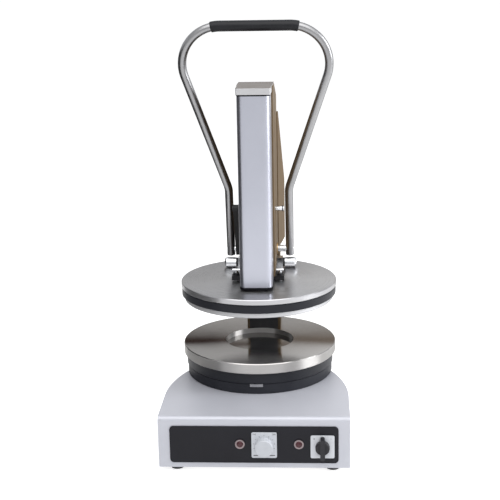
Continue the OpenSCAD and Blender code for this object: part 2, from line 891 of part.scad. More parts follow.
module ram_foot() {
    color(black) difference() {
        union() {
            rod_z(0, 0, upper_top, arm_top, foot_boss_d);
            translate([-arm_reach, tee_y - foot_arm_w / 2, arm_bottom])
                cube([2 * arm_reach, foot_arm_w, arm_t]);
            translate([-foot_rear_w / 2, 0, arm_bottom]) cube([foot_rear_w, hinge_y, arm_t]);
            rod_x(-foot_rear_w / 2, foot_rear_w / 2, lug_d - 2 * fit, hinge_y, hinge_z);
        }
        for (x = [-tee_x, tee_x]) rod_z(x, tee_y, arm_bottom - over, arm_top + over, tee_d + 2 * run_fit);
        rod_x(-foot_rear_w, foot_rear_w, hinge_d + 2 * run_fit, hinge_y, hinge_z);
    }
}

module upper_cover_disc() { color(steel) disc_ring(cover_r, 0, band_top, cover_t, edge); }

module upper_band() { color(dark) disc_ring(band_r, band_r - band_wall, band_bottom, band_h, edge); }

module pressing_disc() { color(chrome) disc_ring(press_r, 0, press_bottom, press_t, edge); }

module upper_heater() { color(dark) disc_ring(heater_out, heater_in, band_bottom, heater_h, edge); }

module hinge_lugs() {
    color(chrome) for (side = [0, 1]) mirror([side, 0, 0]) difference() {
        translate([lug_in, hinge_y - lug_d / 2, upper_top]) cube([lug_out - lug_in, lug_d, lug_h]);
        rod_x(lug_in - over, lug_out + over, hinge_d + 2 * run_fit, hinge_y, hinge_z);
    }
}

module hinge_shaft() {
    reach = lug_out + washer_t + nut_l / 2;
    color(chrome) rod_x(-reach, reach, hinge_d, hinge_y, hinge_z);
}

module hinge_washers() {
    color(black) for (side = [0, 1]) mirror([side, 0, 0]) difference() {
        rod_x(lug_out, lug_out + washer_t, washer_d, hinge_y, hinge_z);
        rod_x(lug_out - over, lug_out + washer_t + over, hinge_d + 2 * run_fit, hinge_y, hinge_z);
    }
}

module hinge_nuts() {
    from = lug_out + washer_t;
    color(chrome) for (side = [0, 1]) mirror([side, 0, 0]) difference() {
        translate([from, hinge_y, hinge_z]) rotate([0, 90, 0]) rotate_extrude()
            polygon([[0, 0], [nut_d / 2, 0], [nut_d / 2, nut_l - nut_edge],
                [nut_d / 2 - nut_edge, nut_l], [0, nut_l]]);
        rod_x(from - over, from + nut_l / 2 + fit, hinge_d + 2 * run_fit, hinge_y, hinge_z);
    }
}

module tee_screw(x) {
    color(chrome) {
        rod_z(x, tee_y, upper_top + fit, tee_top - tee_bar_d / 2, tee_d);
        rod_x(x - tee_bar_l / 2, x + tee_bar_l / 2, tee_bar_d, tee_y, tee_top - tee_bar_d / 2);
    }
}

module left_tee_screw() { tee_screw(-tee_x); }

module right_tee_screw() { tee_screw(tee_x); }

module tee_lock_nuts() {
    color(black) for (x = [-tee_x, tee_x]) difference() {
        rod_z(x, tee_y, arm_top, arm_top + tee_nut_h, tee_nut_d);
        rod_z(x, tee_y, arm_top - over, arm_top + tee_nut_h + over, tee_d + 2 * run_fit);
    }
}

// Turns the hoop's own plane, pivot at zero, to its place and lean
module hoop_plane() { translate([0, pivot_y, pivot_z]) rotate([hoop_lean, 0, 0]) children(); }

// Places and headings along one of the hoop's upper bends
function upper_bend(from, to, steps) =
    [for (i = [0:steps]) let (a = from + (to - from) * i / steps)
        [hoop_c[0] + hoop_r * cos(a), hoop_c[1] + hoop_r * sin(a), -a]];

// Middle line of the hoop's right half, from its leg's end to the grip's end
function half_hoop() = concat(
    [[leg_half, leg_end_v, 0]],
    [for (i = [0:leg_bend_steps]) let (a = arm_slant * i / leg_bend_steps)
        [leg_half + leg_bend_r * (1 - cos(a)), leg_top_v + leg_bend_r * sin(a), a]],
    upper_bend(-arm_slant, grip_angle - grip_step, hoop_bend_steps));

// Middle line of the grip's right half, from its end to the hoop's top
function half_grip() = upper_bend(grip_angle, 90, grip_bend_steps);

// A line that starts a little before another, for a cut that runs past its end
function run_out(line) =
    let (p = line[0])
    concat([[p[0] - over * sin(p[2]), p[1] - over * cos(p[2]), p[2]]], line);

// A line with its mirror image added, from the right end to the left end
function both_halves(right) =
    let (last = len(right) - 1)
    concat(right, [for (i = [0:last]) let (p = right[last - i]) [-p[0], p[1], 180 - p[2]]]);

// A bar swept along a line of places and headings
module swept_bar(line, r, sides) {
    last = len(line) - 1;
    points = [for (p = line, j = [0:sides - 1]) let (a = 360 * j / sides)
        [p[0] + r * cos(a) * cos(p[2]), r * sin(a), p[1] - r * cos(a) * sin(p[2])]];
    walls = [for (k = [0:last - 1], j = [0:sides - 1])
        let (low = k * sides + j, next = k * sides + (j + 1) % sides)
        each [[low, next + sides, next], [low, low + sides, next + sides]]];
    start = [for (j = [0:sides - 1]) j];
    end = [for (j = [0:sides - 1]) last * sides + sides - 1 - j];
    polyhedron(points, concat(walls, [start, end]));
}

module hoop() {
    color(chrome) difference() {
        hoop_plane() swept_bar(both_halves(concat(half_hoop(), half_grip())), hoop_d / 2, hoop_sides);
        rod_x(-hoop_half, hoop_half, spigot_d + 2 * run_fit, pivot_y, pivot_z);
    }
}

module grip() {
    color(black) hoop_plane() difference() {
        swept_bar(both_halves(half_grip()), grip_d / 2, hoop_sides);
        swept_bar(both_halves(run_out(half_grip())), hoop_d / 2 + run_fit, hoop_sides);
    }
}

module pivot_shaft() {
    inner = leg_half - hoop_d / 2;
    outer = leg_half + hoop_d / 2 - run_fit;
    color(chrome) {
        rod_x(-inner, inner, shaft_d, pivot_y, pivot_z);
        rod_x(-outer, outer, spigot_d, pivot_y, pivot_z);
    }
}

// Side view of the crank arm, from its hub at zero to its tip
module crank_outline() {
    lean = asin((crank_hub_r - crank_tip_r) / crank_r);
    low = crank_hub_r * [cos(lean), sin(lean)];
    high = crank_tip_r * [cos(lean), sin(lean)] + [0, crank_r];
    circle(crank_hub_r);
    translate([0, crank_r]) circle(crank_tip_r);
    polygon([low, high, [-high[0], high[1]], [-low[0], low[1]]]);
}

module crank_arm() {
    color(black) translate([-crank_x - crank_t / 2, 0, 0]) across(crank_t) difference() {
        translate([pivot_y, pivot_z]) rotate(crank_start) crank_outline();
        translate([pivot_y, pivot_z]) circle(shaft_d / 2 + run_fit);
        translate([pin_y, pin_z]) circle(pin_d / 2 + run_fit);
    }
}

module crank_pin() { color(chrome) rod_x(-pin_half, pin_half, pin_d, pin_y, pin_z); }

module pin_caps() {
    bore = pin_d + 2 * run_fit;
    knob_in = crank_x + crank_t;
    color(black) {
        difference() {
            rod_x(-knob_in - cap_knob_l, -knob_in, cap_knob_d, pin_y, pin_z);
            rod_x(-knob_in - cap_knob_l - over, -knob_in + over, bore, pin_y, pin_z);
        }
        difference() {
            rod_x(pin_half - 2 * pin_ring_t, pin_half - pin_ring_t, cap_knob_d, pin_y, pin_z);
            rod_x(cheek_out, pin_half + over, bore, pin_y, pin_z);
        }
    }
}

base_housing();
base_floor();
rubber_feet();
base_stiffener();
cable_gland();
gland_seal();
terminal_block();
control_panel();
thermostat_body();
thermostat_plate();
thermostat_knob();
switch_body();
switch_plate();
switch_knob();
lamp_rings();
lamp_lenses();
insulating_ring();
skirt();
skirt_clip();
lower_heater();
lower_plate();
plate_studs();
column_flange();
column_bolts();
left_cheek();
right_cheek();
cheek_ties();
column_spine();
rear_cover();
mast_cover();
mast_cap();
mast_back();
top_bridge();
lower_guide();
upper_guide();
guide_bushes();
pivot_bushes();
strut_cylinder();
strut_rod();
ram_rod();
yoke();
guide_rod();
ram_foot();
upper_cover_disc();
upper_band();
pressing_disc();
upper_heater();
hinge_lugs();
hinge_shaft();
hinge_washers();
hinge_nuts();
left_tee_screw();
right_tee_screw();
tee_lock_nuts();
hoop();
grip();
pivot_shaft();
crank_arm();
crank_pin();
pin_caps();
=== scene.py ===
import math

import bmesh
import bpy
from mathutils import Matrix, Vector


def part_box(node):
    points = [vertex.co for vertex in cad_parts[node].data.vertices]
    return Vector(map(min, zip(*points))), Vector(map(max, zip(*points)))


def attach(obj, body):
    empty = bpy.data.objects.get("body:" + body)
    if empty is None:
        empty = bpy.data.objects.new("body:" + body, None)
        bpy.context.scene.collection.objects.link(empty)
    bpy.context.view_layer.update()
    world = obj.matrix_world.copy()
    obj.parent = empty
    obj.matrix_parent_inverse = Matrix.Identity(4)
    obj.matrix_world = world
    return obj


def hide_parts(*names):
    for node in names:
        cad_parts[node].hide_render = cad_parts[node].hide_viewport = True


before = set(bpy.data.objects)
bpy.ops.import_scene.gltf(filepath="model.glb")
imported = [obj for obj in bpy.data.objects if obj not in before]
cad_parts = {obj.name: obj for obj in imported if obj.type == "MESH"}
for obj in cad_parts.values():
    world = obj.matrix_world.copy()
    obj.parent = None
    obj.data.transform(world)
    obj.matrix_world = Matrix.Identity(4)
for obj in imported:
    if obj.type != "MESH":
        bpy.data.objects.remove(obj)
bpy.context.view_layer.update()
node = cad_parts

# Camera at the photograph's viewing angle: in front, a little to the right, looking down.
# The small shift carries the photograph's off-centre framing.
camera_aim = Vector((0, 0, 0.410))
camera_distance = 2.421
camera_yaw = math.radians(3.10)
camera_pitch = math.radians(13.70)
camera_roll = math.radians(-0.96)
away = Vector((math.sin(camera_yaw) * math.cos(camera_pitch), -math.cos(camera_yaw) * math.cos(camera_pitch),
               math.sin(camera_pitch)))
level = Vector((math.cos(camera_yaw), math.sin(camera_yaw), 0))
upward = away.cross(level)
rolled_level = math.cos(camera_roll) * level + math.sin(camera_roll) * upward
rolled_upward = math.cos(camera_roll) * upward - math.sin(camera_roll) * level
camera_data = bpy.data.cameras.new("photo_camera")
camera_data.sensor_width = 36
camera_data.lens = 81.31
camera_data.shift_x = -0.0162
camera_data.shift_y = -0.0236
camera_data.clip_end = 200
camera = bpy.data.objects.new("photo_camera", camera_data)
camera.matrix_world = (Matrix.Translation(camera_aim + camera_distance * away)
                       @ Matrix((rolled_level, rolled_upward, away)).transposed().to_4x4())
bpy.context.scene.collection.objects.link(camera)
bpy.context.scene.camera = camera

# Studio: a white floor that runs out of the picture, a soft lamp overhead and one at the right.
# A dark card at the left and a brown one behind, pale above, show only where gloss and bare metal
# mirror them.


def show(name, mesh):
    thing = bpy.data.objects.new(name, mesh)
    bpy.context.scene.collection.objects.link(thing)
    return thing


def flat_sheet(name, corners):
    mesh = bpy.data.meshes.new(name)
    mesh.from_pydata(corners, [], [list(range(len(corners)))])
    return show(name, mesh)


def soft_lamp(name, place, aim, size, power, tint):
    lamp = bpy.data.lights.new(name, "AREA")
    lamp.shape = "RECTANGLE"
    lamp.size, lamp.size_y = size
    lamp.energy = power
    lamp.color = tint
    holder = bpy.data.objects.new(name, lamp)
    way = Vector(aim) - Vector(place)
    holder.matrix_world = Matrix.Translation(place) @ way.to_track_quat("-Z", "Y").to_matrix().to_4x4()
    bpy.context.scene.collection.objects.link(holder)


def feed(tree, socket, value):
    """Links a socket to another node's output, or sets it to a plain value."""
    if isinstance(value, bpy.types.NodeSocket):
        tree.links.new(value, socket)
    else:
        socket.default_value = value


def ramp(tree, value, start, end, low=0.0, high=1.0):
    """A value that goes evenly from low to high while another goes from start to end."""
    rise = tree.nodes.new("ShaderNodeMapRange")
    for label, given in (("Value", value), ("From Min", start), ("From Max", end),
                         ("To Min", low), ("To Max", high)):
        feed(tree, rise.inputs[label], given)
    return rise.outputs["Result"]


def mixed(tree, share, first, second):
    """The first colour where the share is zero, the second where it is one, and a mix between."""
    mix = tree.nodes.new("ShaderNodeMix")
    mix.data_type = "RGBA"
    for label, given in (("Factor", share), ("A", first), ("B", second)):
        feed(tree, mix.inputs[label], given)
    return mix.outputs["Result"]


def seen_straight(tree):
    """One where a camera, glossy or transmitted ray meets a surface, and zero for the rest of the light."""
    ray = tree.nodes.new("ShaderNodeLightPath")
    straight = ray.outputs["Is Camera Ray"]
    for kind in ("Is Glossy Ray", "Is Transmission Ray"):
        either = tree.nodes.new("ShaderNodeMath")
        either.operation = "MAXIMUM"
        tree.links.new(straight, either.inputs[0])
        tree.links.new(ray.outputs[kind], either.inputs[1])
        straight = either.outputs[0]
    return straight


bpy.context.scene.view_settings.view_transform = "Standard"
floor_half, floor_glow = 60, 0.66
floor = flat_sheet("floor", [(-floor_half, -floor_half, 0), (floor_half, -floor_half, 0),
                             (floor_half, floor_half, 0), (-floor_half, floor_half, 0)])
floor_white = bpy.data.materials.new("floor_white")
floor_white.use_nodes = True
floor_tree = floor_white.node_tree
floor_shader = floor_tree.nodes["Principled BSDF"]
floor_shader.inputs["Base Color"].default_value = (0.86, 0.86, 0.86, 1)
floor_shader.inputs["Roughness"].default_value = 0.9
floor_shader.inputs["Specular IOR Level"].default_value = 0.1
floor_shader.inputs["Emission Color"].default_value = (1, 1, 1, 1)
floor_tree.links.new(ramp(floor_tree, seen_straight(floor_tree), start=0, end=1, high=floor_glow),
                     floor_shader.inputs["Emission Strength"])
floor.data.materials.append(floor_white)


def gloss_card(name, corners):
    """A card that only mirrors show: it neither lights nor shades what is rough."""
    card = flat_sheet(name, corners)
    card.visible_camera = False
    card.visible_diffuse = False
    card.visible_shadow = False
    return card


left_x, left_front, left_back, left_top = -0.75, -0.6, 0.65, 0.9
left_card = gloss_card("left_card", [(left_x, left_back, 0), (left_x, left_front, 0),
                                     (left_x, left_front, left_top), (left_x, left_back, left_top)])
left_dark = bpy.data.materials.new("left_dark")
left_dark.use_nodes = True
left_shader = left_dark.node_tree.nodes["Principled BSDF"]
left_shader.inputs["Base Color"].default_value = (0.02, 0.02, 0.02, 1)
left_shader.inputs["Roughness"].default_value = 0.9
left_card.data.materials.append(left_dark)

rear_half, rear_y, rear_top = 1.2, 1, 0.76
rear_card = gloss_card("rear_card", [(-rear_half, rear_y, 0), (rear_half, rear_y, 0),
                                     (rear_half, rear_y, rear_top), (-rear_half, rear_y, rear_top)])
rear_brown = bpy.data.materials.new("rear_brown")
rear_brown.use_nodes = True
rear_tree = rear_brown.node_tree
rear_shader = rear_tree.nodes["Principled BSDF"]
rear_shader.inputs["Base Color"].default_value = (0, 0, 0, 1)
rear_shader.inputs["Specular IOR Level"].default_value = 0
rear_shader.inputs["Emission Strength"].default_value = 1.0
rear_place = rear_tree.nodes.new("ShaderNodeTexCoord")
rear_parts = rear_tree.nodes.new("ShaderNodeSeparateXYZ")
rear_tree.links.new(rear_place.outputs["Object"], rear_parts.inputs["Vector"])
rear_side = ramp(rear_tree, rear_parts.outputs["X"], start=-0.20, end=0.15)
rear_first = ramp(rear_tree, rear_parts.outputs["Z"], start=0.470, end=0.530)
rear_second = ramp(rear_tree, rear_parts.outputs["Z"], start=0.540, end=0.556)
rear_low = (0.62, 0.61, 0.60, 1)
rear_middle = mixed(rear_tree, rear_side, (0.035, 0.016, 0.012, 1), (0.26, 0.21, 0.17, 1))
rear_high = mixed(rear_tree, rear_side, (0.70, 0.70, 0.70, 1), (1.10, 1.10, 1.10, 1))
rear_tone = mixed(rear_tree, rear_second, mixed(rear_tree, rear_first, rear_low, rear_middle), rear_high)
rear_tree.links.new(rear_tone, rear_shader.inputs["Emission Color"])
rear_card.data.materials.append(rear_brown)

lamp_aim = (0, 0, 0.3)
soft_lamp("lamp_over", (0.1, -1.3, 2.7), lamp_aim, size=(3.4, 2.8), power=74, tint=(1.0, 0.99, 0.98))
soft_lamp("lamp_right", (2.5, -0.3, 1.2), lamp_aim, size=(1.4, 1.8), power=50, tint=(0.97, 0.98, 1.0))
studio = bpy.data.worlds.new("studio")
studio.use_nodes = True
studio_tree = studio.node_tree
studio_light = studio_tree.nodes["Background"]
studio_light.inputs["Color"].default_value = (0.97, 0.98, 1.0, 1)
studio_dim = 0.42
studio_tree.links.new(ramp(studio_tree, seen_straight(studio_tree), start=0, end=1, low=studio_dim),
                      studio_light.inputs["Strength"])
bpy.context.scene.world = studio

# Base housing: one folded shell of sheet steel with a rolled front edge, sprayed silver grey.
# Its floor plate, the stiffener under the column and the terminal block are plain inside pieces.


def effect_group(name, inputs, outputs):
    group = bpy.data.node_groups.new(name, "ShaderNodeTree")
    for label, kind, value in inputs:
        socket = group.interface.new_socket(name=label, in_out="INPUT", socket_type=kind)
        socket.default_value = value
    for label, kind in outputs:
        group.interface.new_socket(name=label, in_out="OUTPUT", socket_type=kind)
    return group, group.nodes.new("NodeGroupInput"), group.nodes.new("NodeGroupOutput")


# Slow drift of colour and gloss over a surface, as paint, plating and use leave it
tone_drift, drift_in, drift_out = effect_group(
    "tone_drift",
    (("Scale", "NodeSocketFloat", 8.0), ("First Colour", "NodeSocketColor", (0.5, 0.5, 0.5, 1)),
     ("Second Colour", "NodeSocketColor", (0.5, 0.5, 0.5, 1)), ("First Roughness", "NodeSocketFloat", 0.4),
     ("Second Roughness", "NodeSocketFloat", 0.5)),
    (("Colour", "NodeSocketColor"), ("Roughness", "NodeSocketFloat")))
drift_place = tone_drift.nodes.new("ShaderNodeTexCoord")
drift_cloud = tone_drift.nodes.new("ShaderNodeTexNoise")
drift_cloud.inputs["Detail"].default_value = 5
drift_cloud.inputs["Roughness"].default_value = 0.62
tone_drift.links.new(drift_place.outputs["Object"], drift_cloud.inputs["Vector"])
tone_drift.links.new(drift_in.outputs["Scale"], drift_cloud.inputs["Scale"])
drift_share = ramp(tone_drift, drift_cloud.outputs["Fac"], start=0.32, end=0.68)
drift_colour = mixed(tone_drift, drift_share, drift_in.outputs["First Colour"],
                     drift_in.outputs["Second Colour"])
drift_gloss = ramp(tone_drift, drift_share, start=0, end=1, low=drift_in.outputs["First Roughness"],
                   high=drift_in.outputs["Second Roughness"])
tone_drift.links.new(drift_colour, drift_out.inputs["Colour"])
tone_drift.links.new(drift_gloss, drift_out.inputs["Roughness"])

# Skin of sprayed paint or moulded plastic: a fine, even ripple
sprayed_skin, skin_in, skin_out = effect_group(
    "sprayed_skin", (("Scale", "NodeSocketFloat", 600.0),), (("Height", "NodeSocketFloat"),))
skin_place = sprayed_skin.nodes.new("ShaderNodeTexCoord")
skin_ripple = sprayed_skin.nodes.new("ShaderNodeTexNoise")
skin_ripple.inputs["Detail"].default_value = 2
sprayed_skin.links.new(skin_place.outputs["Object"], skin_ripple.inputs["Vector"])
sprayed_skin.links.new(skin_in.outputs["Scale"], skin_ripple.inputs["Scale"])
sprayed_skin.links.new(skin_ripple.outputs["Fac"], skin_out.inputs["Height"])


def surface(name, drift, colours, roughness, metallic, relief=None, relief_values=(), depth=0.0, **constant):
    """A material whose colour and roughness drift, with the height of a relief group as its bump."""
    made = bpy.data.materials.new(name)
    made.use_nodes = True
    nodes, links = made.node_tree.nodes, made.node_tree.links
    shader = nodes["Principled BSDF"]
    shader.inputs["Metallic"].default_value = metallic
    for socket, value in constant.items():
        shader.inputs[socket.replace("_", " ")].default_value = value
    tone = nodes.new("ShaderNodeGroup")
    tone.node_tree = tone_drift
    tone.inputs["Scale"].default_value = drift
    for label, colour in zip(("First Colour", "Second Colour"), colours):
        tone.inputs[label].default_value = (*colour, 1)
    tone.inputs["First Roughness"].default_value, tone.inputs["Second Roughness"].default_value = roughness
    links.new(tone.outputs["Colour"], shader.inputs["Base Color"])
    links.new(tone.outputs["Roughness"], shader.inputs["Roughness"])
    if relief:
        marks = nodes.new("ShaderNodeGroup")
        marks.node_tree = relief
        marks.name = "relief"
        for label, value in relief_values:
            marks.inputs[label].default_value = value
        bump = nodes.new("ShaderNodeBump")
        bump.inputs["Strength"].default_value = 1.0
        bump.inputs["Distance"].default_value = depth
        links.new(marks.outputs["Height"], bump.inputs["Height"])
        links.new(bump.outputs["Normal"], shader.inputs["Normal"])
    return made


def dress(material, *names):
    for name in names:
        node[name].data.materials.clear()
        node[name].data.materials.append(material)


silver_paint = surface("silver_paint", 5, ((0.47, 0.48, 0.53), (0.51, 0.52, 0.57)), (0.38, 0.46), 0.2,
                       sprayed_skin, (("Scale", 900.0),), 0.00006, Coat_Weight=0.35, Coat_Roughness=0.42)
plain_steel = surface("plain_steel", 14, ((0.42, 0.41, 0.40), (0.52, 0.52, 0.53)), (0.38, 0.52), 1.0,
                      sprayed_skin, (("Scale", 300.0),), 0.00004)
dress(silver_paint, "base_housing")
dress(plain_steel, "base_floor", "base_stiffener", "thermostat_body", "plate_studs", "cheek_ties",
      "top_bridge", "lower_guide", "upper_guide")

# Feet and gland: turned rubber feet below the corners, and a black nylon gland with a rubber seal
# at the rear, where the mains lead would come in. The gland's nut is fluted for a spanner.
foot_rubber = surface("foot_rubber", 60, ((0.020, 0.020, 0.022), (0.032, 0.032, 0.034)), (0.62, 0.78), 0.0,
                      sprayed_skin, (("Scale", 1500.0),), 0.00012)
black_nylon = surface("black_nylon", 50, ((0.012, 0.012, 0.015), (0.018, 0.018, 0.022)), (0.40, 0.52), 0.0,
                      sprayed_skin, (("Scale", 1800.0),), 0.00008, Specular_IOR_Level=0.3)
dress(foot_rubber, "rubber_feet", "gland_seal", "hinge_washers")
dress(black_nylon, "cable_gland", "switch_body")


def growing_tree(name, sizes):
    """A Geometry Nodes tree with named inputs for its sizes, and the nodes at its two ends."""
    tree = bpy.data.node_groups.new(name, "GeometryNodeTree")
    tree.interface.new_socket(name="Geometry", in_out="INPUT", socket_type="NodeSocketGeometry")
    for label, kind in sizes:
        tree.interface.new_socket(name=label, in_out="INPUT", socket_type=kind)
    tree.interface.new_socket(name="Geometry", in_out="OUTPUT", socket_type="NodeSocketGeometry")
    return tree, tree.nodes.new("NodeGroupInput"), tree.nodes.new("NodeGroupOutput")


def grow(name, tree, values, points, edges=(), turns=None):
    """Runs a tree on points and edges, and returns the plain mesh object that it makes."""
    seed_mesh = bpy.data.meshes.new(name + "_seed")
    seed_mesh.from_pydata(points, edges, [])
    if turns is not None:
        angles = seed_mesh.attributes.new("turn", "FLOAT_VECTOR", "POINT")
        angles.data.foreach_set("vector", [value for turn in turns for value in turn])
    seed = show(name + "_seed", seed_mesh)
    grower = seed.modifiers.new("grow", "NODES")
    grower.node_group = tree
    for item in tree.interface.items_tree:
        if item.in_out == "INPUT" and item.name in values:
            grower[item.identifier] = values[item.name]
    bpy.context.view_layer.update()
    mesh = bpy.data.meshes.new_from_object(seed.evaluated_get(bpy.context.evaluated_depsgraph_get()))
    mesh.name = name
    seed.modifiers.remove(grower)
    bpy.data.objects.remove(seed)
    return show(name, mesh)


def smooth(thing, sharp_degrees):
    """Shades an object's mesh smooth, apart from the edges that turn by more than an angle."""
    thing.data.shade_smooth()
    thing.data.set_sharp_from_angle(angle=math.radians(sharp_degrees))


# A round bar drawn along a line
bar_tree, bar_in, bar_out = growing_tree(
    "bar_along_line",
    (("Radius", "NodeSocketFloat"), ("Sides", "NodeSocketInt"), ("Finish", "NodeSocketMaterial")))
bar_curve = bar_tree.nodes.new("GeometryNodeMeshToCurve")
bar_round = bar_tree.nodes.new("GeometryNodeCurvePrimitiveCircle")
bar_skin = bar_tree.nodes.new("GeometryNodeCurveToMesh")
bar_skin.inputs["Fill Caps"].default_value = True
bar_real = bar_tree.nodes.new("GeometryNodeRealizeInstances")
bar_paint = bar_tree.nodes.new("GeometryNodeSetMaterial")
bar_tree.links.new(bar_in.outputs["Geometry"], bar_curve.inputs["Mesh"])
bar_tree.links.new(bar_in.outputs["Sides"], bar_round.inputs["Resolution"])
bar_tree.links.new(bar_in.outputs["Radius"], bar_round.inputs["Radius"])
bar_tree.links.new(bar_curve.outputs["Curve"], bar_skin.inputs["Curve"])
bar_tree.links.new(bar_round.outputs["Curve"], bar_skin.inputs["Profile Curve"])
bar_tree.links.new(bar_skin.outputs["Mesh"], bar_real.inputs["Geometry"])
bar_tree.links.new(bar_real.outputs["Geometry"], bar_paint.inputs["Geometry"])
bar_tree.links.new(bar_in.outputs["Finish"], bar_paint.inputs["Material"])
bar_tree.links.new(bar_paint.outputs["Geometry"], bar_out.inputs["Geometry"])

gland_low, gland_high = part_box("cable_gland")
gland_x, gland_z = (gland_low[0] + gland_high[0]) / 2, (gland_low[2] + gland_high[2]) / 2
gland_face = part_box("base_housing")[1][1]
gland_flutes, flute_ring, flute_radius = 18, 0.0100, 0.0009
flute_start, flute_end = gland_face + 0.0070, gland_face + 0.0215
flute_turns = [step * 2 * math.pi / gland_flutes for step in range(gland_flutes)]
gland_ribs = grow("gland_ribs", bar_tree, {"Radius": flute_radius, "Sides": 12, "Finish": black_nylon},
                  [(gland_x + flute_ring * math.cos(turn), y, gland_z + flute_ring * math.sin(turn))
                   for turn in flute_turns for y in (flute_start, flute_end)],
                  edges=[(2 * step, 2 * step + 1) for step in range(gland_flutes)])
smooth(gland_ribs, sharp_degrees=40)
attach(gland_ribs, "frame")

# Control panel: a thin plate with rounded corners under a black film, glued to the front of the housing.
# The dial, the lamps and the switch stand on it.
panel_film = surface("panel_film", 9, ((0.005, 0.005, 0.008), (0.009, 0.009, 0.013)), (0.40, 0.52), 0.0,
                     sprayed_skin, (("Scale", 700.0),), 0.00003, Specular_IOR_Level=0.2)
dress(panel_film, "control_panel")

# Thermostat: a pale moulded dial plate and a fluted knob, which turns on the thermostat's spindle.
# A scale of strokes and numbers is printed on the plate, and a pointer on the knob.
pale_plastic = surface("pale_plastic", 40, ((0.56, 0.58, 0.62), (0.61, 0.63, 0.67)), (0.38, 0.48), 0.0,
                       sprayed_skin, (("Scale", 1600.0),), 0.00005)
knob_plastic = surface("knob_plastic", 60, ((0.51, 0.53, 0.57), (0.55, 0.57, 0.61)), (0.36, 0.46), 0.0,
                       sprayed_skin, (("Scale", 1600.0),), 0.00004)
print_ink = surface("print_ink", 200, ((0.03, 0.03, 0.035), (0.06, 0.06, 0.065)), (0.5, 0.6), 0.0)
dress(pale_plastic, "thermostat_plate", "terminal_block")
dress(knob_plastic, "thermostat_knob")
dial_x, dial_z = 0.0205, 0.0593
plate_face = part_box("thermostat_plate")[0][1]
ink_depth, ink_sink = 0.00012, 0.0001

# Printed strokes set on points and turned in the plane of the panel
stroke_tree, stroke_in, stroke_out = growing_tree(
    "strokes_on_points",
    (("Length", "NodeSocketFloat"), ("Width", "NodeSocketFloat"), ("Depth", "NodeSocketFloat"),
     ("Finish", "NodeSocketMaterial")))
stroke_size = stroke_tree.nodes.new("ShaderNodeCombineXYZ")
stroke_bar = stroke_tree.nodes.new("GeometryNodeMeshCube")
stroke_turn = stroke_tree.nodes.new("GeometryNodeInputNamedAttribute")
stroke_turn.data_type = "FLOAT_VECTOR"
stroke_turn.inputs["Name"].default_value = "turn"
stroke_copies = stroke_tree.nodes.new("GeometryNodeInstanceOnPoints")
stroke_real = stroke_tree.nodes.new("GeometryNodeRealizeInstances")
stroke_paint = stroke_tree.nodes.new("GeometryNodeSetMaterial")
stroke_tree.links.new(stroke_in.outputs["Length"], stroke_size.inputs["X"])
stroke_tree.links.new(stroke_in.outputs["Depth"], stroke_size.inputs["Y"])
stroke_tree.links.new(stroke_in.outputs["Width"], stroke_size.inputs["Z"])
stroke_tree.links.new(stroke_size.outputs["Vector"], stroke_bar.inputs["Size"])
stroke_tree.links.new(stroke_in.outputs["Geometry"], stroke_copies.inputs["Points"])
stroke_tree.links.new(stroke_bar.outputs["Mesh"], stroke_copies.inputs["Instance"])
stroke_tree.links.new(stroke_turn.outputs["Attribute"], stroke_copies.inputs["Rotation"])
stroke_tree.links.new(stroke_copies.outputs["Instances"], stroke_real.inputs["Geometry"])
stroke_tree.links.new(stroke_real.outputs["Geometry"], stroke_paint.inputs["Geometry"])
stroke_tree.links.new(stroke_in.outputs["Finish"], stroke_paint.inputs["Material"])
stroke_tree.links.new(stroke_paint.outputs["Geometry"], stroke_out.inputs["Geometry"])

scale_ring, scale_count, scale_start, scale_step = 0.0208, 11, -45, 27
scale_angles = [math.radians(scale_start + scale_step * step) for step in range(scale_count)]
dial_scale = grow("dial_scale", stroke_tree,
                  {"Length": 0.0026, "Width": 0.0006, "Depth": ink_depth, "Finish": print_ink},
                  [(dial_x + scale_ring * math.cos(angle), plate_face, dial_z + scale_ring * math.sin(angle))
                   for angle in scale_angles],
                  turns=[(0, -angle, 0) for angle in scale_angles])
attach(dial_scale, "frame")


def printed_number(name, figures, place, height):
    """Flat printed figures on an upright face, read from the front."""
    line = bpy.data.curves.new(name, "FONT")
    line.body = figures
    line.size = height
    line.extrude = ink_depth
    line.align_x = "CENTER"
    line.align_y = "CENTER"
    line.resolution_u = 3
    draft = show(name + "_draft", line)
    bpy.context.view_layer.update()
    mesh = bpy.data.meshes.new_from_object(draft.evaluated_get(bpy.context.evaluated_depsgraph_get()))
    bpy.data.objects.remove(draft)
    mesh.transform(Matrix.Translation(place) @ Matrix.Rotation(math.pi / 2, 4, "X"))
    mesh.materials.clear()
    mesh.materials.append(print_ink)
    mesh.name = name
    made = show(name, mesh)
    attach(made, "frame")


dial_number_x, dial_number_z, dial_number_height = 0.0195, dial_z + 0.0232, 0.0046
printed_number("dial_number_low", "100", (dial_x - dial_number_x, plate_face, dial_number_z),
               dial_number_height)
printed_number("dial_number_high", "200", (dial_x + dial_number_x, plate_face, dial_number_z),
               dial_number_height)
dial_bar_x, dial_bar_z = 0.0153, dial_z - 0.0212
unturned = (0, 0, 0)
dial_bars = grow("dial_bars", stroke_tree,
                 {"Length": 0.0120, "Width": 0.0017, "Depth": ink_depth, "Finish": print_ink},
                 [(dial_x + side * dial_bar_x, plate_face, dial_bar_z) for side in (-1, 1)],
                 turns=[unturned] * 2)
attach(dial_bars, "frame")
knob_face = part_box("thermostat_knob")[0][1]
dial_pointer_z = dial_z + 0.0105
dial_pointer = grow("dial_pointer", stroke_tree,
                    {"Length": 0.0010, "Width": 0.0095, "Depth": ink_depth, "Finish": print_ink},
                    [(dial_x, knob_face + ink_sink, dial_pointer_z)], turns=[unturned])
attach(dial_pointer, "thermostat_dial")

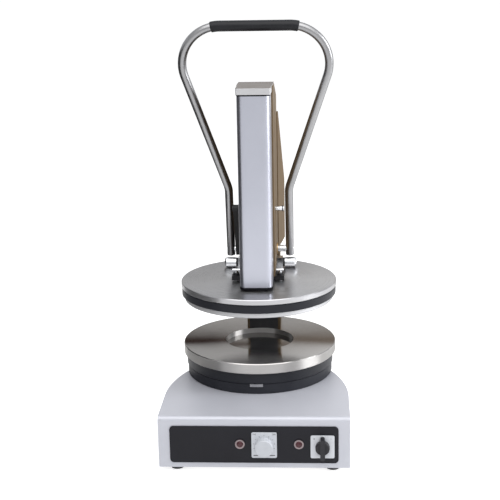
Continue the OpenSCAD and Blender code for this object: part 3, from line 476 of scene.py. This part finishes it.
# Main switch: a white moulded plate, printed with 0 and 1, and a black bar handle on the switch's spindle.
# A pale pointer is let into the handle's top end.
switch_white = surface("switch_white", 40, ((0.62, 0.64, 0.68), (0.67, 0.69, 0.73)), (0.36, 0.46), 0.0,
                       sprayed_skin, (("Scale", 1600.0),), 0.00005)
dress(switch_white, "switch_plate")
dress(black_nylon, "switch_knob")
switch_x, switch_z = 0.1355, 0.0563
switch_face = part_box("switch_plate")[0][1]
handle_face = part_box("switch_knob")[0][1]
switch_pointer_z = switch_z + 0.0155
switch_pointer = grow("switch_pointer", stroke_tree,
                      {"Length": 0.0036, "Width": 0.0070, "Depth": ink_depth, "Finish": pale_plastic},
                      [(switch_x, handle_face + ink_sink, switch_pointer_z)], turns=[unturned])
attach(switch_pointer, "switch_handle")
switch_number_x, switch_number_z, switch_number_height = 0.0165, switch_z + 0.0170, 0.0050
printed_number("switch_number_off", "0", (switch_x - switch_number_x, switch_face, switch_number_z),
               switch_number_height)
printed_number("switch_number_on", "1", (switch_x + switch_number_x, switch_face, switch_number_z),
               switch_number_height)

# Pilot lamps: dark red moulded domes, each held by a pressed and nickel-plated ring.
# One is let into the panel beside the dial and one beside the switch.
lamp_nickel = surface("lamp_nickel", 60, ((0.18, 0.145, 0.15), (0.25, 0.21, 0.215)), (0.28, 0.40), 1.0,
                      sprayed_skin, (("Scale", 500.0),), 0.00004)
lamp_red = surface("lamp_red", 90, ((0.040, 0.007, 0.011), (0.065, 0.010, 0.015)), (0.24, 0.32), 0.0,
                   Specular_IOR_Level=0.3, Coat_Weight=0.15, Coat_Roughness=0.1)
dress(lamp_nickel, "lamp_rings")
dress(lamp_red, "lamp_lenses")

# Lower plate: a turned steel disc with a round recess, on a charcoal skirt and a black insulating ring.
# A small clip of plated steel holds the skirt at the front. The heater ring is clamped underneath.

# Fine concentric grooves that a lathe leaves round the plates' axis
turning_marks, turning_in, turning_out = effect_group(
    "turning_marks", (("Grooves", "NodeSocketFloat", 2500.0),),
    (("Height", "NodeSocketFloat"), ("Tone", "NodeSocketFloat")))
turning_place = turning_marks.nodes.new("ShaderNodeTexCoord")
turning_flat = turning_marks.nodes.new("ShaderNodeVectorMath")
turning_flat.operation = "MULTIPLY"
turning_flat.inputs[1].default_value = (1, 1, 0)
turning_radius = turning_marks.nodes.new("ShaderNodeVectorMath")
turning_radius.operation = "LENGTH"
turning_count = turning_marks.nodes.new("ShaderNodeMath")
turning_count.operation = "MULTIPLY"
turning_lines = turning_marks.nodes.new("ShaderNodeTexNoise")
turning_lines.noise_dimensions = "1D"
turning_lines.inputs["Scale"].default_value = 1.0
turning_lines.inputs["Detail"].default_value = 4
turning_marks.links.new(turning_place.outputs["Object"], turning_flat.inputs[0])
turning_marks.links.new(turning_flat.outputs[0], turning_radius.inputs[0])
turning_marks.links.new(turning_radius.outputs["Value"], turning_count.inputs[0])
turning_marks.links.new(turning_in.outputs["Grooves"], turning_count.inputs[1])
turning_marks.links.new(turning_count.outputs[0], turning_lines.inputs["W"])
turning_marks.links.new(turning_lines.outputs["Fac"], turning_out.inputs["Height"])
turning_marks.links.new(turning_lines.outputs["Fac"], turning_out.inputs["Tone"])


def turned(material):
    """Lets the grooves of a turned disc vary its gloss and stretch its highlights across them."""
    tree = material.node_tree
    shader = tree.nodes["Principled BSDF"]
    tangent = tree.nodes.new("ShaderNodeTangent")
    tangent.direction_type = "RADIAL"
    tangent.axis = "Z"
    shader.inputs["Anisotropic Rotation"].default_value = 0.25
    tree.links.new(tangent.outputs["Tangent"], shader.inputs["Tangent"])
    gloss = tree.nodes.new("ShaderNodeMath")
    gloss.operation = "MULTIPLY"
    rings = ramp(tree, tree.nodes["relief"].outputs["Tone"], start=0.3, end=0.7, low=0.85, high=1.15)
    tree.links.new(rings, gloss.inputs[0])
    tree.links.new(shader.inputs["Roughness"].links[0].from_socket, gloss.inputs[1])
    tree.links.new(gloss.outputs[0], shader.inputs["Roughness"])
    return material


def facing_up(tree):
    """One on faces that look up and zero on upright ones."""
    face = tree.nodes.new("ShaderNodeNewGeometry")
    way = tree.nodes.new("ShaderNodeSeparateXYZ")
    tree.links.new(face.outputs["Normal"], way.inputs["Vector"])
    return ramp(tree, way.outputs["Z"], start=0.6, end=0.8)


lower_steel = turned(surface("lower_steel", 10, ((0.37, 0.36, 0.35), (0.43, 0.42, 0.41)), (0.07, 0.09), 1.0,
                             turning_marks, (("Grooves", 1400.0),), 0.000002, Anisotropic=1.0))
lower_tree = lower_steel.node_tree
lower_gloss = lower_tree.nodes["Principled BSDF"].inputs["Roughness"]
wall_roughness = 0.40
wall_gloss = ramp(lower_tree, facing_up(lower_tree), start=0, end=1, low=wall_roughness,
                  high=lower_gloss.links[0].from_socket)
lower_tree.links.new(wall_gloss, lower_gloss)
skirt_paint = surface("skirt_paint", 12, ((0.012, 0.013, 0.017), (0.018, 0.019, 0.024)), (0.40, 0.50), 0.0,
                      sprayed_skin, (("Scale", 900.0),), 0.00008, Specular_IOR_Level=0.22)
ring_black = surface("ring_black", 20, ((0.012, 0.013, 0.018), (0.020, 0.021, 0.027)), (0.5, 0.65), 0.0,
                     sprayed_skin, (("Scale", 700.0),), 0.0001, Specular_IOR_Level=0.25)
clip_steel = surface("clip_steel", 14, ((0.26, 0.26, 0.27), (0.36, 0.36, 0.37)), (0.24, 0.34), 1.0,
                     sprayed_skin, (("Scale", 400.0),), 0.00003)
heater_steel = surface("heater_steel", 26, ((0.16, 0.12, 0.09), (0.28, 0.25, 0.24)), (0.4, 0.6), 1.0)
dress(lower_steel, "lower_plate")
dress(skirt_paint, "skirt")
dress(ring_black, "insulating_ring")
dress(clip_steel, "skirt_clip")
dress(heater_steel, "lower_heater", "upper_heater")

# Column and mast frame: two stainless cheeks on a bolted foot flange, with a spine between them, and
# folded stainless covers behind. The brush marks run up and down. The brown tint of this stainless is a
# painted reflection of warm surroundings.
brush_marks, brush_in, brush_out = effect_group(
    "brush_marks", (("Stretch", "NodeSocketVector", (900.0, 900.0, 14.0)),), (("Height", "NodeSocketFloat"),))
brush_place = brush_marks.nodes.new("ShaderNodeTexCoord")
brush_stretch = brush_marks.nodes.new("ShaderNodeVectorMath")
brush_stretch.operation = "MULTIPLY"
brush_lines = brush_marks.nodes.new("ShaderNodeTexNoise")
brush_lines.inputs["Scale"].default_value = 1.0
brush_lines.inputs["Detail"].default_value = 3
brush_marks.links.new(brush_place.outputs["Object"], brush_stretch.inputs[0])
brush_marks.links.new(brush_in.outputs["Stretch"], brush_stretch.inputs[1])
brush_marks.links.new(brush_stretch.outputs[0], brush_lines.inputs["Vector"])
brush_marks.links.new(brush_lines.outputs["Fac"], brush_out.inputs["Height"])

# Brown base colour: a painted reflection of warm surroundings on the stainless.
stainless_with_painted_reflection = surface("stainless_with_painted_reflection", 7, ((0.132, 0.090, 0.050), (0.160, 0.112, 0.064)), (0.46, 0.56), 0.12,
                      brush_marks, (("Stretch", (900.0, 900.0, 12.0)),), 0.00004, Specular_IOR_Level=0.1)
# Dark grey spine: partly its paint and partly painted shade, where it stands between the plates.
spine_paint_and_shade = surface("spine_paint_and_shade", 10, ((0.040, 0.040, 0.044), (0.055, 0.055, 0.060)), (0.5, 0.6), 0.0,
                      sprayed_skin, (("Scale", 900.0),), 0.00006, Specular_IOR_Level=0.3)
bright_chrome = surface("bright_chrome", 30, ((0.66, 0.67, 0.69), (0.76, 0.77, 0.78)), (0.10, 0.18), 1.0,
                        sprayed_skin, (("Scale", 260.0),), 0.00002)
dress(stainless_with_painted_reflection, "left_cheek", "right_cheek", "column_flange", "rear_cover", "mast_back")
dress(spine_paint_and_shade, "column_spine")

# Heads of bolts and screws, each on a collar, set on points and turned by their own angles
stud_tree, stud_in, stud_out = growing_tree(
    "studs_on_points",
    (("Radius", "NodeSocketFloat"), ("Height", "NodeSocketFloat"), ("Sides", "NodeSocketInt"),
     ("Collar Radius", "NodeSocketFloat"), ("Collar Height", "NodeSocketFloat"),
     ("Finish", "NodeSocketMaterial")))
stud_body = stud_tree.nodes.new("GeometryNodeMeshCone")
stud_collar = stud_tree.nodes.new("GeometryNodeMeshCylinder")
stud_collar.inputs["Vertices"].default_value = 32
stud_half = stud_tree.nodes.new("ShaderNodeMath")
stud_half.operation = "MULTIPLY"
stud_half.inputs[1].default_value = 0.5
stud_lift = stud_tree.nodes.new("ShaderNodeCombineXYZ")
stud_seat = stud_tree.nodes.new("GeometryNodeTransform")
stud_top = stud_tree.nodes.new("ShaderNodeMath")
stud_top.operation = "MULTIPLY"
stud_top.inputs[1].default_value = 0.9
stud_join = stud_tree.nodes.new("GeometryNodeJoinGeometry")
stud_turn = stud_tree.nodes.new("GeometryNodeInputNamedAttribute")
stud_turn.data_type = "FLOAT_VECTOR"
stud_turn.inputs["Name"].default_value = "turn"
stud_copies = stud_tree.nodes.new("GeometryNodeInstanceOnPoints")
stud_real = stud_tree.nodes.new("GeometryNodeRealizeInstances")
stud_paint = stud_tree.nodes.new("GeometryNodeSetMaterial")
stud_tree.links.new(stud_in.outputs["Sides"], stud_body.inputs["Vertices"])
stud_tree.links.new(stud_in.outputs["Radius"], stud_body.inputs["Radius Bottom"])
stud_tree.links.new(stud_in.outputs["Radius"], stud_top.inputs[0])
stud_tree.links.new(stud_top.outputs[0], stud_body.inputs["Radius Top"])
stud_tree.links.new(stud_in.outputs["Height"], stud_body.inputs["Depth"])
stud_tree.links.new(stud_in.outputs["Collar Radius"], stud_collar.inputs["Radius"])
stud_tree.links.new(stud_in.outputs["Collar Height"], stud_collar.inputs["Depth"])
stud_tree.links.new(stud_in.outputs["Collar Height"], stud_half.inputs[0])
stud_tree.links.new(stud_half.outputs[0], stud_lift.inputs["Z"])
stud_tree.links.new(stud_collar.outputs["Mesh"], stud_seat.inputs["Geometry"])
stud_tree.links.new(stud_lift.outputs["Vector"], stud_seat.inputs["Translation"])
stud_tree.links.new(stud_body.outputs["Mesh"], stud_join.inputs["Geometry"])
stud_tree.links.new(stud_seat.outputs["Geometry"], stud_join.inputs["Geometry"])
stud_tree.links.new(stud_in.outputs["Geometry"], stud_copies.inputs["Points"])
stud_tree.links.new(stud_join.outputs["Geometry"], stud_copies.inputs["Instance"])
stud_tree.links.new(stud_turn.outputs["Attribute"], stud_copies.inputs["Rotation"])
stud_tree.links.new(stud_copies.outputs["Instances"], stud_real.inputs["Geometry"])
stud_tree.links.new(stud_real.outputs["Geometry"], stud_paint.inputs["Geometry"])
stud_tree.links.new(stud_in.outputs["Finish"], stud_paint.inputs["Material"])
stud_tree.links.new(stud_paint.outputs["Geometry"], stud_out.inputs["Geometry"])

bolt_low, bolt_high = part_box("column_bolts")
bolt_half = 0.0085
flange_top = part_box("column_flange")[1][2]
bolt_places = [(x, y, flange_top) for x in (bolt_low[0] + bolt_half, bolt_high[0] - bolt_half)
               for y in (bolt_low[1] + bolt_half, bolt_high[1] - bolt_half)]
bolt_turn, bolt_turn_step = 0.4, 0.7
bolt_heads = grow("bolt_heads", stud_tree,
                  {"Radius": 0.0098, "Height": 0.0065, "Sides": 6, "Collar Radius": 0.0104,
                   "Collar Height": 0.0016, "Finish": bright_chrome},
                  bolt_places,
                  turns=[(0, 0, bolt_turn + bolt_turn_step * step) for step in range(len(bolt_places))])
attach(bolt_heads, "frame")
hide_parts("column_bolts")

cover_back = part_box("rear_cover")[1][1]
screw_x, screw_heights = 0.030, (0.160, 0.310, 0.460)
screw_places = [(x, cover_back, z) for x in (-screw_x, screw_x) for z in screw_heights]
facing_back = (-math.pi / 2, 0, 0)
cover_screws = grow("cover_screws", stud_tree,
                    {"Radius": 0.0036, "Height": 0.0022, "Sides": 24, "Collar Radius": 0.0050,
                     "Collar Height": 0.0007, "Finish": bright_chrome},
                    screw_places, turns=[facing_back] * len(screw_places))
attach(cover_screws, "frame")

# Front cover and cap: a sheet bent round at its front edges and sprayed pale blue grey, under a folded cap
# whose bare top is coloured dark brown as painted shade and reflection. Black rubber strips under the cap's
# lip and on the cover's lower edge are painted shade for the dark gaps there.
mast_paint = surface("mast_paint", 5, ((0.375, 0.385, 0.438), (0.41, 0.42, 0.473)), (0.28, 0.34), 0.92,
                     sprayed_skin, (("Scale", 900.0),), 0.00005, Coat_Weight=0.2, Coat_Roughness=0.25)
cap_paint = surface("cap_paint", 6, ((0.46, 0.46, 0.47), (0.52, 0.52, 0.53)), (0.36, 0.46), 0.2,
                    sprayed_skin, (("Scale", 900.0),), 0.00005, Specular_IOR_Level=0.2)
cap_tree = cap_paint.node_tree
cap_colour = cap_tree.nodes["Principled BSDF"].inputs["Base Color"]
# Faces that look up turn dark brown: painted shade and reflection on the cap's bare top.
top_painted_shade = (0.134, 0.114, 0.100, 1)
cap_tone = mixed(cap_tree, facing_up(cap_tree), cap_colour.links[0].from_socket, top_painted_shade)
cap_tree.links.new(cap_tone, cap_colour)
dress(mast_paint, "mast_cover")
dress(cap_paint, "mast_cap")

# A flat strip drawn along a line, standing on edge
strip_tree, strip_in, strip_out = growing_tree(
    "strip_along_line",
    (("Thickness", "NodeSocketFloat"), ("Height", "NodeSocketFloat"), ("Rounding", "NodeSocketFloat"),
     ("Finish", "NodeSocketMaterial")))
strip_curve = strip_tree.nodes.new("GeometryNodeMeshToCurve")
strip_upright = strip_tree.nodes.new("GeometryNodeSetCurveNormal")
strip_upright.mode = "Z_UP"
strip_profile = strip_tree.nodes.new("GeometryNodeCurvePrimitiveQuadrilateral")
strip_soft = strip_tree.nodes.new("GeometryNodeFilletCurve")
strip_soft.mode = "POLY"
strip_soft.inputs["Count"].default_value = 4
strip_skin = strip_tree.nodes.new("GeometryNodeCurveToMesh")
strip_skin.inputs["Fill Caps"].default_value = True
strip_real = strip_tree.nodes.new("GeometryNodeRealizeInstances")
strip_paint = strip_tree.nodes.new("GeometryNodeSetMaterial")
strip_tree.links.new(strip_in.outputs["Geometry"], strip_curve.inputs["Mesh"])
strip_tree.links.new(strip_curve.outputs["Curve"], strip_upright.inputs["Curve"])
strip_tree.links.new(strip_in.outputs["Thickness"], strip_profile.inputs["Width"])
strip_tree.links.new(strip_in.outputs["Height"], strip_profile.inputs["Height"])
strip_tree.links.new(strip_profile.outputs["Curve"], strip_soft.inputs["Curve"])
strip_tree.links.new(strip_in.outputs["Rounding"], strip_soft.inputs["Radius"])
strip_tree.links.new(strip_upright.outputs["Curve"], strip_skin.inputs["Curve"])
strip_tree.links.new(strip_soft.outputs["Curve"], strip_skin.inputs["Profile Curve"])
strip_tree.links.new(strip_skin.outputs["Mesh"], strip_real.inputs["Geometry"])
strip_tree.links.new(strip_real.outputs["Geometry"], strip_paint.inputs["Geometry"])
strip_tree.links.new(strip_in.outputs["Finish"], strip_paint.inputs["Material"])
strip_tree.links.new(strip_paint.outputs["Geometry"], strip_out.inputs["Geometry"])

# Black rubber strips where the cap's lip and the cover's lower edge leave dark gaps: painted shade.
shade_strip_rubber = surface("shade_strip_rubber", 30, ((0.003, 0.003, 0.004), (0.006, 0.006, 0.008)), (0.60, 0.75), 0.0,
                      sprayed_skin, (("Scale", 1500.0),), 0.00006, Specular_IOR_Level=0.12)
cover_low, cover_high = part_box("mast_cover")
cover_bend, cover_bend_steps = 0.014, 12
strip_end = cover_high[1] - 0.001


def round_cover(name, inset, middle, thickness, height, rounding):
    """A black rubber strip of painted shade round the front and sides of the cover, its middle line drawn in
    by an inset.
    """
    half, front, bend = cover_high[0] - inset, cover_low[1] + inset, cover_bend - inset
    turns = [step * math.pi / (2 * cover_bend_steps) for step in range(cover_bend_steps + 1)]
    right_side = [(half, strip_end)]
    right_side += [(half - bend + bend * math.cos(turn), front + bend - bend * math.sin(turn))
                   for turn in turns]
    line = right_side + [(-x, y) for x, y in reversed(right_side)]
    strip = grow(name, strip_tree,
                 {"Thickness": thickness, "Height": height, "Rounding": rounding, "Finish": shade_strip_rubber},
                 [(x, y, middle) for x, y in line], edges=[(step, step + 1) for step in range(len(line) - 1)])
    smooth(strip, sharp_degrees=50)
    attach(strip, "frame")


round_cover("cover_shade_strip", inset=0.0010, middle=cover_low[2] - 0.0026, thickness=0.0030, height=0.0060,
            rounding=0.0010)
round_cover("cap_shade_strip", inset=0.0002, middle=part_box("mast_cap")[0][2] - 0.0012, thickness=0.0018,
            height=0.0036, rounding=0.0003)

# Ram: chromed rods on a black cross foot, guided in bronze bushes inside the mast. The crank pin drives them
# through a black yoke, and a gas strut lifts them again.
black_steel = surface("black_steel", 40, ((0.010, 0.010, 0.012), (0.018, 0.018, 0.020)), (0.40, 0.5), 0.0,
                      sprayed_skin, (("Scale", 1200.0),), 0.00008, Specular_IOR_Level=0.3)
bush_bronze = surface("bush_bronze", 50, ((0.42, 0.26, 0.10), (0.52, 0.34, 0.15)), (0.3, 0.42), 1.0,
                      turning_marks, (("Grooves", 3000.0),), 0.00002)
dress(bright_chrome, "ram_rod", "guide_rod", "strut_rod")
dress(black_steel, "ram_foot", "yoke", "strut_cylinder", "crank_arm")
dress(bush_bronze, "guide_bushes", "pivot_bushes")

# Upper plate: a turned cover disc, a charcoal band and a bright pressing disc, hung from the ram foot
# by a hinge behind and two tee-headed screws beside the mast.
upper_steel = turned(surface("upper_steel", 9, ((0.36, 0.36, 0.37), (0.42, 0.42, 0.43)), (0.27, 0.33), 1.0,
                             turning_marks, (("Grooves", 1600.0),), 0.0000003, Anisotropic=0.7))
band_paint = surface("band_paint", 12, ((0.009, 0.010, 0.014), (0.015, 0.016, 0.021)), (0.36, 0.48), 0.0,
                     sprayed_skin, (("Scale", 900.0),), 0.00006, Specular_IOR_Level=0.2)
press_chrome = turned(surface("press_chrome", 12, ((0.48, 0.48, 0.49), (0.54, 0.54, 0.55)), (0.62, 0.72), 1.0,
                              turning_marks, (("Grooves", 1800.0),), 0.0000008, Anisotropic=0.4))
dress(upper_steel, "upper_cover_disc")
dress(band_paint, "upper_band")
dress(press_chrome, "pressing_disc")
dress(bright_chrome, "hinge_lugs", "hinge_shaft", "hinge_nuts", "left_tee_screw", "right_tee_screw")
dress(black_nylon, "tee_lock_nuts")

# Handle: a hoop of bent satin stainless bar, pinned to the chromed pivot shaft, with a rubber sleeve
# as its grip, and a black crank arm with its cross pin.
satin_bar = surface("satin_bar", 12, ((0.24, 0.24, 0.245), (0.30, 0.30, 0.305)), (0.28, 0.36), 1.0,
                    brush_marks, (("Stretch", (500.0, 500.0, 60.0)),), 0.00004)
grip_rubber = surface("grip_rubber", 45, ((0.005, 0.0055, 0.007), (0.010, 0.0105, 0.013)), (0.36, 0.46), 0.0,
                      sprayed_skin, (("Scale", 1400.0),), 0.0001, Specular_IOR_Level=0.22)
pivot_y, pivot_z = 0.090, 0.365
hoop_lean = math.radians(10.8)
hoop_length, hoop_half, hoop_bend = 0.5028, 0.153, 0.081
leg_half, leg_bend, leg_end = 0.0655, 0.060, -0.014
arm_slant = math.radians(18.3)
bar_radius = 0.009
bend_x, bend_v = hoop_half - hoop_bend, hoop_length - hoop_bend
slant_x, slant_v = bend_x + hoop_bend * math.cos(arm_slant), bend_v - hoop_bend * math.sin(arm_slant)
leg_top = slant_v - (slant_x - leg_half) / math.tan(arm_slant) - leg_bend * math.tan(arm_slant / 2)


def in_hoop(x, v):
    """A place in the hoop's leaning plane."""
    return (x, pivot_y - v * math.sin(hoop_lean), pivot_z + v * math.cos(hoop_lean))


def upper_bend(start, end, steps):
    angles = [start + (end - start) * step / steps for step in range(steps + 1)]
    return [(bend_x + hoop_bend * math.cos(angle), bend_v + hoop_bend * math.sin(angle)) for angle in angles]


leg_steps, bend_steps = 10, 36
leg_turns = [arm_slant * step / leg_steps for step in range(leg_steps + 1)]
right_line = [(leg_half, leg_end)]
right_line += [(leg_half + leg_bend * (1 - math.cos(turn)), leg_top + leg_bend * math.sin(turn))
               for turn in leg_turns]
right_line += upper_bend(-arm_slant, math.pi / 2, bend_steps)
hoop_line = right_line + [(-x, v) for x, v in reversed(right_line)]

hoop_bar = grow("hoop_bar", bar_tree, {"Radius": bar_radius, "Sides": 40, "Finish": satin_bar},
                [in_hoop(x, v) for x, v in hoop_line],
                edges=[(step, step + 1) for step in range(len(hoop_line) - 1)])
smooth(hoop_bar, sharp_degrees=40)
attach(hoop_bar, "handle")
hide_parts("hoop")

grip_half, grip_radius, grip_round = 0.0905, 0.01125, 0.0018
grip_angle = math.acos((grip_half - bend_x) / hoop_bend)
grip_steps = 8
grip_line = upper_bend(grip_angle, math.pi / 2, grip_steps)
grip_line = grip_line + [(bend_x * (1 - step / grip_steps), hoop_length) for step in range(1, grip_steps)]
grip_line = grip_line + [(0, hoop_length)] + [(-x, v) for x, v in reversed(grip_line)]


def way_along(line, index):
    before, after = line[max(index - 1, 0)], line[min(index + 1, len(line) - 1)]
    return Vector((after[0] - before[0], after[1] - before[1])).normalized()


def sleeve(name, line, outer, inner, rounding, sides, material):
    """A soft tube along a line in the hoop's plane, with rounded ends."""
    last = len(line) - 1
    start, end = Vector(line[0]), Vector(line[last])
    start_way, end_way = way_along(line, 0), way_along(line, last)
    middle = [(Vector(line[index]), way_along(line, index)) for index in range(1, last)
              if min((Vector(line[index]) - start).length, (Vector(line[index]) - end).length) > rounding]
    round_steps = 5
    turns = [step * math.pi / (2 * round_steps) for step in range(round_steps + 1)]
    rows = [(start, start_way, inner)]
    rows += [(start + start_way * rounding * (1 - math.cos(turn)), start_way,
              outer - rounding * (1 - math.sin(turn))) for turn in turns]
    rows += [(place, way, outer) for place, way in middle]
    rows += [(end - end_way * rounding * (1 - math.cos(turn)), end_way,
              outer - rounding * (1 - math.sin(turn))) for turn in reversed(turns)]
    rows += [(end, end_way, inner)]
    rows += [(place, way, inner) for place, way in reversed(middle)]
    lift = Vector((0, math.cos(hoop_lean), math.sin(hoop_lean)))
    shape = bmesh.new()
    rings = []
    for place, way, radius in rows:
        side = Vector((way[1], -way[0]))
        ring = []
        for step in range(sides):
            turn = 2 * math.pi * step / sides
            flat = place + side * radius * math.cos(turn)
            ring.append(shape.verts.new(Vector(in_hoop(flat[0], flat[1])) + lift * radius * math.sin(turn)))
        rings.append(ring)
    for near, far in zip(rings, rings[1:] + rings[:1]):
        for step in range(sides):
            following = (step + 1) % sides
            shape.faces.new((near[step], near[following], far[following], far[step]))
    bmesh.ops.recalc_face_normals(shape, faces=shape.faces)
    mesh = bpy.data.meshes.new(name)
    shape.to_mesh(mesh)
    shape.free()
    mesh.materials.append(material)
    made = show(name, mesh)
    smooth(made, sharp_degrees=50)
    return made


grip_sleeve = sleeve("grip_sleeve", grip_line, outer=grip_radius, inner=bar_radius, rounding=grip_round,
                     sides=40, material=grip_rubber)
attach(grip_sleeve, "handle")
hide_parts("grip")
dress(bright_chrome, "pivot_shaft", "crank_pin")
dress(black_nylon, "pin_caps")
